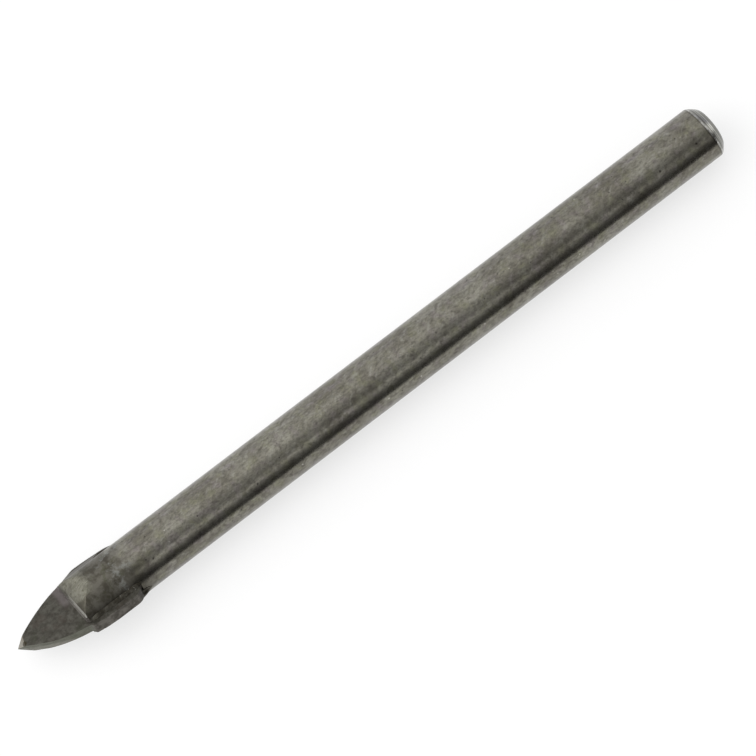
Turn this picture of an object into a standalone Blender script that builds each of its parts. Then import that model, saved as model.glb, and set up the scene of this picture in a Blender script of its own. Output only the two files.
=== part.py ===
"""Glass and tile drill bit: a spear-shaped carbide plate brazed into a slotted round steel shank.

The bit lies on its shank along X with its point towards -X. It is modelled upright on its own
axis, with the plate lying flat in XY, and then turned as one about that axis, so that it rests
on one narrow flat of the shank. All sizes are in metres and angles in radians.
"""

from math import asin, atan2, cos, hypot, pi, radians, sin, sqrt, tan

import bmesh
import bpy
from mathutils import Matrix, Vector

# Whole bit
OVERALL_LENGTH = 0.0690
LIE_FACETS = 5.5  # the bit lies turned by this many shank facets, so that a flat is underneath

# Round steel shank
SHANK_RADIUS = 0.00235
SHANK_FACETS = 72
END_CHAMFER_DEPTH = 0.00064
END_CHAMFER_LENGTH = 0.00068

# Slotted nose that holds the plate
SLOT_DEPTH = 0.00500
LIP_HEIGHT = 0.00047  # flat front of each cheek, above the slot
CHEEK_LENGTH = 0.00200  # from the front to where the ground curve runs out on the shank
CHEEK_RADIUS = 0.00270
CHEEK_STEPS = 14

# Carbide plate
PLATE_WIDTH = 0.00600
PLATE_THICKNESS = 0.00105
POINT_LENGTH = 0.00553  # from the meeting point of the cutting edges to the shoulder
POINT_HALF_ANGLE = radians(40)
POINT_OFFSET = 0.00011  # the whole ground point stands this far off the plate's middle
TIP_DRIFT = 0.00024  # its tip is ground this much further off, fading out over the drift length
TIP_DRIFT_LENGTH = 0.00360
RELIEF_ANGLE = radians(12)
SHOULDER_STEP = 0.00038  # the ground edge lies this far inside the plate's full width
SHOULDER_ANGLE = radians(36)
SHOULDER_TO_STEEL = 0.00010
TAIL_RADIUS = 0.00090
EDGE_STEPS = 18
CORNER_STEPS = 5

# Thinned point
THIN_SLOPE = radians(31)
THIN_SKEW = radians(20)
THIN_LEAD = 0.00006  # the thinned faces meet this far ahead of the chisel edge, and leave some of it

# Braze
BRAZE_FILM = 0.00006
FIT_GAP = 0.00002  # clearance that parts in contact keep between their meshes
FILLET_LEG = 0.00024
FILLET_STEPS = 4
FILLET_HOLLOW = 0.10  # bevel profile, below 0.25 for a hollow fillet

# Values that follow from the sizes above
HALF_WIDTH = PLATE_WIDTH / 2
HALF_THICKNESS = PLATE_THICKNESS / 2
FACET_ANGLE = 2 * pi / SHANK_FACETS
AXIS_HEIGHT = SHANK_RADIUS * cos(FACET_ANGLE / 2)
SLOT_HALF = HALF_THICKNESS + BRAZE_FILM + 2 * FIT_GAP
REAR_X = OVERALL_LENGTH / 2
RELIEF_INSET = PLATE_THICKNESS * tan(RELIEF_ANGLE)
EDGE_END_HALF = HALF_WIDTH - SHOULDER_STEP
SHOULDER_RADIUS = SHOULDER_STEP / (1 - cos(SHOULDER_ANGLE))
SHOULDER_RUN = SHOULDER_RADIUS * sin(SHOULDER_ANGLE)
CHORD_ANGLE = atan2(EDGE_END_HALF, POINT_LENGTH)
EDGE_RADIUS = hypot(EDGE_END_HALF, POINT_LENGTH) / (2 * sin(POINT_HALF_ANGLE - CHORD_ANGLE))
CHISEL_X = RELIEF_INSET / (2 * sin(POINT_HALF_ANGLE))  # chisel edge, behind the edges' meeting point
APEX_X = -OVERALL_LENGTH / 2 - CHISEL_X
STEEL_FRONT_X = APEX_X + POINT_LENGTH + SHOULDER_TO_STEEL
SLOT_END_X = STEEL_FRONT_X + SLOT_DEPTH
PLATE_TAIL_X = SLOT_END_X - BRAZE_FILM - 2 * FIT_GAP
WELL_CLEAR = 4 * SHANK_RADIUS


def clear_scene():
    """Remove every object and leave an empty scene."""
    for old in list(bpy.data.objects):
        bpy.data.objects.remove(old, do_unlink=True)


def new_collection(name):
    """Add a collection to the scene."""
    collection = bpy.data.collections.new(name)
    bpy.context.scene.collection.children.link(collection)
    return collection


def principled(name, color, roughness, metallic):
    """Make a Principled material from a linear colour, a roughness and a metallic value."""
    material = bpy.data.materials.new(name)
    material.use_nodes = True
    shader = material.node_tree.nodes["Principled BSDF"]
    shader.inputs["Base Color"].default_value = (*color, 1)
    shader.inputs["Roughness"].default_value = roughness
    shader.inputs["Metallic"].default_value = metallic
    return material


def object_from_bmesh(name, shape, collection):
    """Turn a bmesh into an object and free the bmesh."""
    bmesh.ops.recalc_face_normals(shape, faces=shape.faces)
    mesh = bpy.data.meshes.new(name)
    shape.to_mesh(mesh)
    shape.free()
    made = bpy.data.objects.new(name, mesh)
    collection.objects.link(made)
    return made


def hide_as_cutter(cutter):
    """Show a cutter as wire and keep it out of renders."""
    cutter.hide_render = True
    cutter.display_type = "WIRE"


def boolean(target, cutter, operation):
    """Cut or trim a target by a cutter, which stays in the scene as a guide."""
    hide_as_cutter(cutter)
    modifier = target.modifiers.new(f"{operation.lower()} {cutter.name}", "BOOLEAN")
    modifier.operation = operation
    modifier.solver = "EXACT"
    modifier.object = cutter


def box(name, low, high, collection):
    """Make a box between two corners."""
    shape = bmesh.new()
    size = Vector(high) - Vector(low)
    centre = (Vector(high) + Vector(low)) / 2
    bmesh.ops.create_cube(shape, size=1, matrix=Matrix.Translation(centre) @ Matrix.Diagonal((*size, 1)))
    return object_from_bmesh(name, shape, collection)


def turned_rod(name, profile, collection):
    """Turn a profile of (x, radius) points, from front to rear, about the X axis."""
    shape = bmesh.new()
    points = [shape.verts.new((x, 0, radius)) for x, radius in profile]
    for start, end in zip(points, points[1:]):
        shape.edges.new((start, end))
    mesh = bpy.data.meshes.new(name)
    shape.to_mesh(mesh)
    shape.free()
    rod = bpy.data.objects.new(name, mesh)
    collection.objects.link(rod)
    screw = rod.modifiers.new("turning", "SCREW")
    screw.axis = "X"
    screw.steps = SHANK_FACETS
    screw.render_steps = SHANK_FACETS
    screw.use_merge_vertices = True
    screw.merge_threshold = 0.000001
    screw.use_normal_calculate = True
    return rod


def cheek_curve(grow):
    """List (x, z) points up the ground front of the upper cheek, out past the shank's surface."""
    lip_z = SLOT_HALF + LIP_HEIGHT
    rise = SHANK_RADIUS - lip_z
    chord = hypot(CHEEK_LENGTH, rise)
    half_turn = asin(chord / (2 * CHEEK_RADIUS))
    start = atan2(rise, CHEEK_LENGTH) + half_turn
    centre_x = STEEL_FRONT_X + CHEEK_RADIUS * sin(start)
    centre_z = lip_z - CHEEK_RADIUS * cos(start)
    radius = CHEEK_RADIUS + grow
    points = []
    for step in range(CHEEK_STEPS + 1):
        angle = start - 2 * half_turn * step / CHEEK_STEPS
        points.append((centre_x - radius * sin(angle), centre_z + radius * cos(angle)))
    last_x, last_z = points[-1]
    end_slope = tan(start - 2 * half_turn)
    points.append((last_x + WELL_CLEAR, last_z + WELL_CLEAR * end_slope))
    return points


def nose_envelope(name, grow, collection):
    """Make the solid that the nose is ground to: a side outline in XZ, extruded along Y."""
    front = STEEL_FRONT_X - grow
    upper = [(max(x, front), z) for x, z in cheek_curve(grow)]
    top_x, top_z = upper[-1]
    outline = [(front, upper[0][1]), *upper[1:], (REAR_X + WELL_CLEAR, top_z)]
    outline += [(x, -z) for x, z in reversed(outline)]
    curve = bpy.data.curves.new(name, "CURVE")
    curve.dimensions = "2D"
    curve.fill_mode = "BOTH"
    curve.extrude = WELL_CLEAR
    spline = curve.splines.new("POLY")
    spline.points.add(len(outline) - 1)
    for point, (x, z) in zip(spline.points, outline):
        point.co = (x, z, 0, 1)
    spline.use_cyclic_u = True
    flat = bpy.data.objects.new(f"{name}_curve", curve)
    collection.objects.link(flat)
    flat.rotation_euler.x = pi / 2
    bpy.context.view_layer.update()
    mesh = bpy.data.meshes.new_from_object(flat.evaluated_get(bpy.context.evaluated_depsgraph_get()))
    shape = bmesh.new()
    shape.from_mesh(mesh)
    bmesh.ops.remove_doubles(shape, verts=shape.verts, dist=0.0000005)
    shape.transform(flat.matrix_world)
    envelope = object_from_bmesh(name, shape, collection)
    bpy.data.objects.remove(flat, do_unlink=True)
    bpy.data.meshes.remove(mesh)
    return envelope


def slotted_shank(name, grow, collection, cutters):
    """Make the shank, or a copy grown by a clearance to cut what lies against it."""
    radius = SHANK_RADIUS + grow
    end_radius = SHANK_RADIUS - END_CHAMFER_DEPTH
    rod = turned_rod(
        name,
        [
            (STEEL_FRONT_X - grow, 0),
            (STEEL_FRONT_X - grow, radius),
            (REAR_X - END_CHAMFER_LENGTH, radius),
            (REAR_X, end_radius),
            (REAR_X, 0),
        ],
        collection,
    )
    boolean(rod, nose_envelope(f"{name}_nose", grow, cutters), "INTERSECT")
    slot_half = SLOT_HALF - grow
    slot = box(
        f"{name}_slot",
        (STEEL_FRONT_X - WELL_CLEAR, -WELL_CLEAR, -slot_half),
        (SLOT_END_X - grow, WELL_CLEAR, slot_half),
        cutters,
    )
    boolean(rod, slot, "DIFFERENCE")
    return rod


def drift(x):
    """Sideways offset of the ground point, which fades out round the shoulder."""
    to_tip = 1 - (x - APEX_X) / TIP_DRIFT_LENGTH
    past_shoulder = (x - APEX_X - POINT_LENGTH) / SHOULDER_RUN
    return POINT_OFFSET * (1 - min(max(past_shoulder, 0), 1)) + TIP_DRIFT * max(to_tip, 0) ** 2


def edge_line(relieved):
    """List (x, half width) points from the point to the tail, along one edge of one plate face.

    The cutting edge is an arc that leaves the point at the half angle. The relieved edge on the
    plate's other face is the same arc ground inwards, about the same centre.
    """
    centre_x = EDGE_RADIUS * sin(POINT_HALF_ANGLE)
    centre_drop = EDGE_RADIUS * cos(POINT_HALF_ANGLE)
    inner_radius = EDGE_RADIUS - RELIEF_INSET
    radius = inner_radius if relieved else EDGE_RADIUS
    apex_y = (EDGE_RADIUS ** 2 - inner_radius ** 2) / (4 * centre_drop)
    apex_x = centre_x - sqrt(EDGE_RADIUS ** 2 - (centre_drop + apex_y) ** 2)
    start = asin((centre_x - apex_x) / radius)
    end = asin((centre_x - POINT_LENGTH) / radius)
    line = []
    for step in range(EDGE_STEPS + 1):
        angle = start + (end - start) * step / EDGE_STEPS
        line.append((APEX_X + centre_x - radius * sin(angle), radius * cos(angle) - centre_drop))
    return line


def shoulder_line(end_half):
    """List (x, half width) points from the ground edge's end, round the shoulder, to full width."""
    run_out_x = APEX_X + POINT_LENGTH + SHOULDER_RUN
    line = []
    for step in range(1, CORNER_STEPS + 1):
        angle = SHOULDER_ANGLE * (1 - step / CORNER_STEPS)
        share = (cos(angle) - cos(SHOULDER_ANGLE)) / (1 - cos(SHOULDER_ANGLE))
        line.append((run_out_x - SHOULDER_RADIUS * sin(angle), end_half + (HALF_WIDTH - end_half) * share))
    return line


def tail_line(grow):
    """List (x, half width) points round the plate's tail corner, or outside it by a clearance."""
    line = []
    for step in range(CORNER_STEPS + 1):
        angle = pi / 2 * step / CORNER_STEPS
        x = PLATE_TAIL_X - TAIL_RADIUS * (1 - sin(angle))
        line.append((x + grow, HALF_WIDTH - TAIL_RADIUS * (1 - cos(angle)) + grow))
    return line


def plate_loft(name, upper_lines, lower_lines, half_thickness, collection):
    """Loft a plate between two outlines, each given as its -Y and +Y lines from front to tail."""
    shape = bmesh.new()
    rings = []
    for (right, left), z in ((upper_lines, half_thickness), (lower_lines, -half_thickness)):
        outline = [(x, -half) for x, half in right] + [(x, half) for x, half in reversed(left)]
        rings.append([shape.verts.new((x, y + drift(x), z)) for x, y in outline])
    upper, lower = rings
    shape.faces.new(upper)
    shape.faces.new(list(reversed(lower)))
    for index in range(len(upper)):
        after = (index + 1) % len(upper)
        shape.faces.new((lower[index], lower[after], upper[after], upper[index]))
    bmesh.ops.remove_doubles(shape, verts=shape.verts, dist=0.0000005)
    return object_from_bmesh(name, shape, collection)


def thinning_cutter(name, side, collection):
    """Make the block that thins the point on one face, side 1 for the upper and -1 for the lower."""
    slope = Matrix.Rotation(-THIN_SLOPE, 4, "Y")
    skew = Matrix.Rotation(-THIN_SKEW, 4, "Z")
    turn_over = Matrix.Rotation(0 if side > 0 else pi, 4, "X")
    lead_x = APEX_X + CHISEL_X - THIN_LEAD
    place = Matrix.Translation((lead_x, drift(lead_x), 0))
    shape = bmesh.new()
    bmesh.ops.create_cube(shape, size=PLATE_WIDTH, matrix=Matrix.Translation((0, 0, PLATE_WIDTH / 2)))
    shape.transform(place @ turn_over @ skew @ slope)
    return object_from_bmesh(name, shape, collection)


def carbide_plate(name, collection, cutters):
    """Make the plate, whose two faces are the same outline turned over, and thin its point.

    On each face one edge cuts and the other is relieved, which gives a right-hand cutting point.
    """
    cutting = edge_line(False)
    relieved = edge_line(True)
    cutting += shoulder_line(cutting[-1][1]) + tail_line(0)
    relieved += shoulder_line(relieved[-1][1]) + tail_line(0)
    plate = plate_loft(name, (cutting, relieved), (relieved, cutting), HALF_THICKNESS, collection)
    for side, label in ((1, "upper"), (-1, "lower")):
        boolean(plate, thinning_cutter(f"thinning_{label}", side, cutters), "DIFFERENCE")
    return plate


def tang_clearance(name, collection):
    """Make the space round the plate that the braze leaves, open past the plate's flanks."""
    tail = tail_line(FIT_GAP)
    line = [(STEEL_FRONT_X - WELL_CLEAR, WELL_CLEAR), (tail[0][0], WELL_CLEAR), *tail]
    return plate_loft(name, (line, line), (line, line), HALF_THICKNESS + FIT_GAP, collection)


def braze_seam(name, collection, cutters):
    """Make the braze: a film round the plate's tang, with a hollow fillet where it comes out."""
    reach_y = SHANK_RADIUS + FILLET_LEG
    reach_z = HALF_THICKNESS + FILLET_LEG
    low = (STEEL_FRONT_X - FILLET_LEG, -reach_y, -reach_z)
    high = (SLOT_END_X + FILLET_LEG, reach_y, reach_z)
    seam = box(name, low, high, collection)
    bevel = seam.modifiers.new("hollow fillet", "BEVEL")
    bevel.width = FILLET_LEG
    bevel.segments = FILLET_STEPS
    bevel.profile = FILLET_HOLLOW
    bevel.limit_method = "ANGLE"
    boolean(seam, slotted_shank("shank_clearance", FIT_GAP, cutters, cutters), "DIFFERENCE")
    boolean(seam, tang_clearance("tang_clearance", cutters), "DIFFERENCE")
    return seam


def shade_round(made, angle):
    """Shade a piece smooth, with its edges above an angle kept sharp."""
    made.data.shade_smooth()
    made.data.set_sharp_from_angle(angle=angle)


def build():
    """Build the drill bit."""
    clear_scene()
    parts = new_collection("glass_and_tile_drill_bit")
    cutters = new_collection("cutters")
    shank = slotted_shank("shank", 0, parts, cutters)
    shank.data.materials.append(principled("shank_steel", (0.15, 0.14, 0.12), 0.50, 0.80))
    plate = carbide_plate("carbide_tip", parts, cutters)
    plate.data.materials.append(principled("sintered_carbide", (0.085, 0.085, 0.075), 0.45, 0.60))
    seam = braze_seam("braze_seam", parts, cutters)
    seam.data.materials.append(principled("braze_alloy", (0.26, 0.23, 0.17), 0.45, 0.85))
    shade_round(shank, radians(30))
    lie = bpy.data.objects.new("lie_of_the_bit", None)
    parts.objects.link(lie)
    lie.location.z = AXIS_HEIGHT
    lie.rotation_euler.x = -LIE_FACETS * FACET_ANGLE
    for made in list(parts.objects) + list(cutters.objects):
        if made is not lie:
            made.parent = lie


build()
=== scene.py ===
"""Looks of the glass and tile drill bit: worn mill-finish steel, ground carbide and a lumpy braze seam.

Lengths are in metres. Most shapes are worked out in the bit's own frame, where the bit's axis is X,
its point is towards -X and the carbide plate lies flat in XY, and are then laid down as the frame has them.
"""

from math import asin, atan2, cos, hypot, pi, radians, sin, sqrt, tan

import bmesh
import bpy
from mathutils import Matrix, Vector


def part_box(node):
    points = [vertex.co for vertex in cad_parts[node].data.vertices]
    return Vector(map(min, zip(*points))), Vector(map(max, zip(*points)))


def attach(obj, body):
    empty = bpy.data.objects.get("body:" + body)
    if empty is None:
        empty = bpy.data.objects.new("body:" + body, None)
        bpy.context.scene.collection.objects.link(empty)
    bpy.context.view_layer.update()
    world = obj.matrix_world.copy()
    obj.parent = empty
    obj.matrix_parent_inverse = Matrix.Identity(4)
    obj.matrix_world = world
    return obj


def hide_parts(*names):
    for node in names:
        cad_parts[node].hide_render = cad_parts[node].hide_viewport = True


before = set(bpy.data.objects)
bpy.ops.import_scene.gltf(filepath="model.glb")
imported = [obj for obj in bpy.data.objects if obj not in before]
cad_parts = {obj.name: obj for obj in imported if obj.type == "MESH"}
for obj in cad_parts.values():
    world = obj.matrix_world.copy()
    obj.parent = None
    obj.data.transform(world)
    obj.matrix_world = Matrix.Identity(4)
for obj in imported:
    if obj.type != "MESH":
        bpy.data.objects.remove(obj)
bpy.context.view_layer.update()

MM = 0.001

# Read from the frame
SHANK_LOW, SHANK_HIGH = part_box("shank")
TIP_LOW, TIP_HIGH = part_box("carbide_tip")
FRONT_X = SHANK_LOW[0]
REAR_X = SHANK_HIGH[0]
TAIL_X = TIP_HIGH[0]
TIP_X = TIP_LOW[0]
SHANK_RADIUS = (SHANK_HIGH[1] - SHANK_LOW[1]) / 2
AXIS_Z = (SHANK_LOW[2] + SHANK_HIGH[2]) / 2

# The bit's sizes, as the frame has them
LIE_ANGLE = radians(27.5)
PLATE_WIDTH = 6.00 * MM
PLATE_THICKNESS = 1.05 * MM
POINT_LENGTH = 5.53 * MM
POINT_HALF_ANGLE = radians(40)
POINT_OFFSET = 0.11 * MM
TIP_DRIFT = 0.24 * MM
TIP_DRIFT_LENGTH = 3.60 * MM
RELIEF_ANGLE = radians(12)
SHOULDER_STEP = 0.38 * MM
SHOULDER_ANGLE = radians(36)
TAIL_RADIUS = 0.90 * MM
THIN_SKEW = radians(20)
THIN_LEAD = 0.06 * MM
SLOT_HALF = 0.625 * MM
SLOT_END_X = TAIL_X + 0.10 * MM
LIP_HEIGHT = 0.47 * MM
CHEEK_LENGTH = 2.00 * MM
CHEEK_RADIUS = 2.70 * MM
END_CHAMFER_DEPTH = 0.64 * MM

# Thinning of the point, drawn a little steeper than the frame's
THIN_SLOPE = radians(35.5)

# Wear of the shank: its rear chamfer and rim, its domed end, its front lips and its whole skin
WORN_CHAMFER = 0.82 * MM
CHAMFER_CURVE = 1.45
CHAMFER_TILT = 0.095
TILT_RUN = 2.00 * MM
RIM_BREAK = 0.03 * MM
RIM_BREAK_RUN = 0.06 * MM
END_DOME = 0.055 * MM
LIP_RUN = 0.100 * MM
LIP_RISE = 0.088 * MM
SKIN_WEAR = 0.012 * MM

# Wear of the plate: one side's shoulder and tail, then the other side's bow, ground step and crown
WORN_FROM = -0.05 * MM
WORN_LENGTH = 1.85 * MM
WORN_DEPTH = 0.28 * MM
TAIL_WEAR = 0.24 * MM
BOW_FROM = 1.70 * MM
BOW_RUN = 0.60 * MM
EDGE_BOW = 0.06 * MM
STEP_FROM = -0.10 * MM
STEP_LENGTH = 0.30 * MM
STEP_HEIGHT = 0.51 * MM
CROWN_DROP = 0.165 * MM
CROWN_LENGTH = 2.30 * MM
EDGE_SOFTENING = 0.02 * MM

# Braze: the bead round the seam, the film in the slot, and the heap round one tail corner of each face
FILLET_LEG = 0.24 * MM
SEAM_STEP = 0.05 * MM
SEAM_CORNER = 0.25 * MM
SEAM_INSET = 0.03 * MM
SEAM_SHORT_END_X = TAIL_X + 0.25 * MM
SEAM_LONG_END_X = TAIL_X + 0.35 * MM
FILM_LENGTH = SLOT_END_X - FRONT_X
FILM_WIDTH = 4.44 * MM
FILM_END_PLAY = 0.04 * MM
FILM_SIDE_PLAY = 0.01 * MM
HEAP_START_X = TAIL_X - 1.60 * MM
HEAP_LENGTH = 2.80 * MM
HEAP_Y = 2.30 * MM
HEAP_LEAN = 0.20 * MM
HEAP_Z = 0.60 * MM
HEAP_RADIUS = 0.36 * MM
HEAP_END_RADIUS = 0.01 * MM

# How finely curves are drawn
SHANK_SIDES = 216
BEAD_SIDES = 32
EDGE_STEPS = 72
CORNER_STEPS = 16
DOME_STEPS = 8
SEAM_CORNER_STEPS = 5
HEAP_STEPS = 40

# Marks on the surface, in millimetres in the bit's own frame
DEEP_PITS = ((28.47, -1.78, 1.53), (32.16, -1.78, 1.53))
POINT_STAIN = (-33.90, -0.04)

HALF_WIDTH = PLATE_WIDTH / 2
HALF_THICKNESS = PLATE_THICKNESS / 2
RELIEF_INSET = PLATE_THICKNESS * tan(RELIEF_ANGLE)
EDGE_END_HALF = HALF_WIDTH - SHOULDER_STEP
SHOULDER_RADIUS = SHOULDER_STEP / (1 - cos(SHOULDER_ANGLE))
SHOULDER_RUN = SHOULDER_RADIUS * sin(SHOULDER_ANGLE)
CHORD_ANGLE = atan2(EDGE_END_HALF, POINT_LENGTH)
EDGE_RADIUS = hypot(EDGE_END_HALF, POINT_LENGTH) / (2 * sin(POINT_HALF_ANGLE - CHORD_ANGLE))
CHISEL_X = RELIEF_INSET / (2 * sin(POINT_HALF_ANGLE))
APEX_X = TIP_X - CHISEL_X
LIP_Z = SLOT_HALF + LIP_HEIGHT
CHEEK_RISE = SHANK_RADIUS - LIP_Z
CHEEK_START = atan2(CHEEK_RISE, CHEEK_LENGTH) + asin(hypot(CHEEK_LENGTH, CHEEK_RISE) / (2 * CHEEK_RADIUS))
CHEEK_CENTRE_X = FRONT_X + CHEEK_RADIUS * sin(CHEEK_START)
CHEEK_CENTRE_Z = LIP_Z - CHEEK_RADIUS * cos(CHEEK_START)
LAY_DOWN = Matrix.Translation((0, 0, AXIS_Z)) @ Matrix.Rotation(-LIE_ANGLE, 4, "X")

# Camera: where the photograph was taken from
CAMERA_AZIMUTH = radians(-38.275)
CAMERA_ELEVATION = radians(74.556)
CAMERA_DISTANCE = 0.410
CAMERA_LENS_MM = 248.69
CAMERA_SENSOR_MM = 36
AIM_RIGHT = 0.612 * MM
AIM_UP = 0.588 * MM
AIM_Z = 2.35 * MM

# Studio: which way is across the bit in the picture, the light's level by its angle round the bit, how blue
# it gets towards one side, where the key lamp is (across, back and along), and how white the floor looks.
# The levels were set in rounds, against the photo's measured brightness in strips across the shank
ACROSS_RIGHT = -0.605
ACROSS_UP = 0.796
LIGHT_LEVELS = (
    (-180, 0.45), (-110, 0.14), (-90, 0.08), (-62, 0.11), (-47, 0.34),
    (-31, 1.17), (-17, 0.52), (0, 0.71), (14, 0.97), (32, 1.40),
    (60, 1.10), (84, 1.06), (110, 1.08), (138, 1.12), (180, 0.45),
)
BLUE_FROM = 90
BLUE_RUN = 48
BLUE_GAIN = 0.34
KEY_TOWARD = (0.42, 0.62, -0.66)
KEY_DISTANCE = 0.60
KEY_SIZE = 0.60
KEY_POWER = 1.6
FLOOR_SIZE = 3.0
FLOOR_WHITENING = 0.66


class NodeTree:
    """A short way to add nodes to a tree and link them."""

    def __init__(self, tree):
        self.tree = tree

    def add(self, kind, inputs=None, **settings):
        """Add a node, set its properties, and set or link its inputs by name or number."""
        node = self.tree.nodes.new(kind)
        for name, value in settings.items():
            setattr(node, name, value)
        for name, value in (inputs or {}).items():
            self.feed(node.inputs[name], value)
        return node

    def feed(self, socket, value):
        """Link an output to a socket, or set the socket's own value."""
        if isinstance(value, bpy.types.NodeSocket):
            self.tree.links.new(value, socket)
        else:
            socket.default_value = value

    def math(self, operation, first, second=0.0):
        """Do a sum on numbers or sockets."""
        return self.add("ShaderNodeMath", {0: first, 1: second}, operation=operation).outputs[0]

    def plus(self, first, second):
        """Add two numbers or sockets."""
        return self.math("ADD", first, second)

    def minus(self, first, second):
        """Take the second number or socket from the first."""
        return self.math("SUBTRACT", first, second)

    def times(self, first, *others):
        """Multiply numbers or sockets, from first to last."""
        for other in others:
            first = self.math("MULTIPLY", first, other)
        return first

    def stray(self, value, noise, reach):
        """Shift a value to and fro by a noise."""
        return self.plus(value, self.times(self.minus(noise, 0.5), reach))

    def measure(self, operation, first, second):
        """Give the number that two vectors make, such as their distance."""
        return self.add("ShaderNodeVectorMath", {0: first, 1: second}, operation=operation).outputs["Value"]

    def scaled(self, vector, amount):
        """Scale a vector by a number or a socket."""
        return self.add("ShaderNodeVectorMath", {0: vector, "Scale": amount}, operation="SCALE").outputs[0]

    def step(self, value, low, high, start=0.0, end=1.0):
        """Turn a value into a smooth step between two limits."""
        node = self.add(
            "ShaderNodeMapRange",
            {"Value": value, "From Min": low, "From Max": high, "To Min": start, "To Max": end},
            interpolation_type="SMOOTHSTEP",
        )
        return node.outputs["Result"]

    def noise(self, vector, scale, detail=3.0, roughness=0.55, distortion=0.0):
        """Add a noise texture and give its value."""
        node = self.add(
            "ShaderNodeTexNoise",
            {
                "Vector": vector,
                "Scale": scale,
                "Detail": detail,
                "Roughness": roughness,
                "Distortion": distortion,
            },
        )
        return node.outputs[0]

    def dots(self, vector, scale, channel, lowest, largest):
        """Scatter dots of many sizes, and give how far inside one each place is."""
        cells = self.add(
            "ShaderNodeTexVoronoi", {"Vector": vector, "Scale": scale, "Randomness": 1.0}, feature="F1"
        )
        pick = self.add("ShaderNodeSeparateColor", {"Color": cells.outputs["Color"]}).outputs[channel]
        return self.minus(self.step(pick, lowest, 1.0, 0.0, largest), cells.outputs["Distance"])

    def blend(self, share, first, second, mode="MIX"):
        """Mix two colours."""
        node = self.add("ShaderNodeMix", data_type="RGBA", blend_type=mode)
        self.feed(node.inputs["Factor"], share)
        for socket, value in ((node.inputs[6], first), (node.inputs[7], second)):
            self.feed(socket, (*value, 1.0) if isinstance(value, tuple) else value)
        return node.outputs[2]

    def bit_axes(self):
        """Give object coordinates in millimetres in the bit's own frame, as a vector and as X, Y and Z."""
        place = self.add("ShaderNodeTexCoord").outputs["Object"]
        centred = self.add(
            "ShaderNodeMapping",
            {"Vector": place, "Location": (0, 0, -AXIS_Z / MM), "Scale": (1 / MM, 1 / MM, 1 / MM)},
        )
        turned = self.add(
            "ShaderNodeMapping", {"Vector": centred.outputs[0], "Rotation": (LIE_ANGLE, 0, 0)}
        ).outputs[0]
        apart = self.add("ShaderNodeSeparateXYZ", {"Vector": turned})
        return turned, apart.outputs["X"], apart.outputs["Y"], apart.outputs["Z"]


def new_material(name):
    """Make a material with its node tree and its Principled shader."""
    material = bpy.data.materials.new(name)
    material.use_nodes = True
    return material, NodeTree(material.node_tree), material.node_tree.nodes["Principled BSDF"]


def finish_metal(nodes, shader, color, roughness, height, metallic, strength, depth):
    """Connect a metal's colour, roughness and bump to its shader."""
    bump = nodes.add("ShaderNodeBump", {"Strength": strength, "Distance": depth, "Height": height})
    nodes.feed(shader.inputs["Base Color"], color)
    nodes.feed(shader.inputs["Roughness"], roughness)
    nodes.feed(shader.inputs["Normal"], bump.outputs[0])
    nodes.feed(shader.inputs["Metallic"], metallic)


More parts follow.
